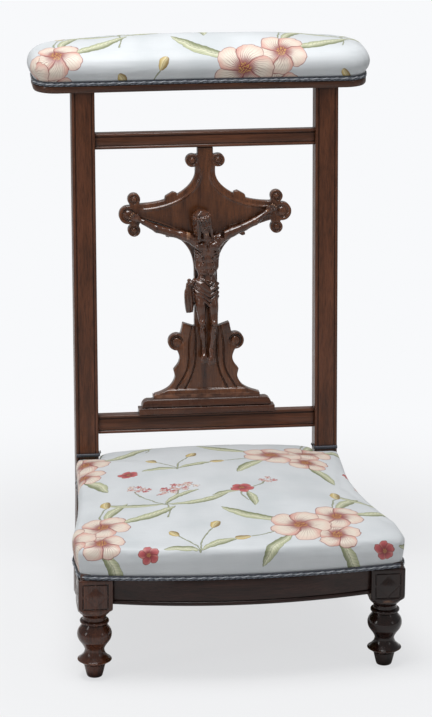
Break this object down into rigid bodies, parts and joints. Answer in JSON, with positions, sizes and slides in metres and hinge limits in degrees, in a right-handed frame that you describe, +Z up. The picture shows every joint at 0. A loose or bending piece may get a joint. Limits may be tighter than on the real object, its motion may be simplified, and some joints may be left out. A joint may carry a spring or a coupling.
{
  "type": "prie-dieu",
  "caption": "Low upholstered kneeling chair with turned front legs, a carved cross splat with a small figure, and a padded armrest across the top of its posts",
  "frame": {"origin": "on the floor, under the middle of the overall box", "axes": "+X to the right in a front view, -Y to the front where one kneels, +Z up"},
  "size_m": [0.507, 0.605, 0.808],
  "materials": {
    "polished_wood": "french polished",
    "carved_wood": "waxed",
    "secondary_wood": "bare",
    "printed_cotton": "satin print",
    "braid": "twisted cord",
    "horsehair": "matte",
    "jute": "matte",
    "iron": "dark"
  },
  "bodies": {
    "root": {"front_leg_left": "polished_wood", "front_leg_right": "polished_wood", "rear_post_left": "polished_wood", "rear_post_right": "polished_wood", "front_rail": "polished_wood", "side_rail_left": "polished_wood", "side_rail_right": "polished_wood", "rear_rail": "secondary_wood", "corner_blocks": "secondary_wood", "corner_block_screws": "iron", "lower_back_rail": "polished_wood", "upper_back_rail": "polished_wood", "splat_panel": "polished_wood", "splat_plinth": "polished_wood", "splat_dowels": "secondary_wood", "corpus_body": "carved_wood", "corpus_arm_left": "carved_wood", "corpus_arm_right": "carved_wood", "corpus_nails": "iron", "corpus_peg": "secondary_wood", "armrest_board": "polished_wood", "armrest_stuffing": "horsehair", "armrest_cover": "printed_cotton", "armrest_gimp": "braid", "seat_webbing_long": "jute", "seat_webbing_cross": "jute", "seat_hessian": "jute", "seat_stuffing": "horsehair", "seat_cover": "printed_cotton", "seat_gimp": "braid", "post_gimp": "braid", "gimp_pins": "iron"}
  },
  "joints": []
}
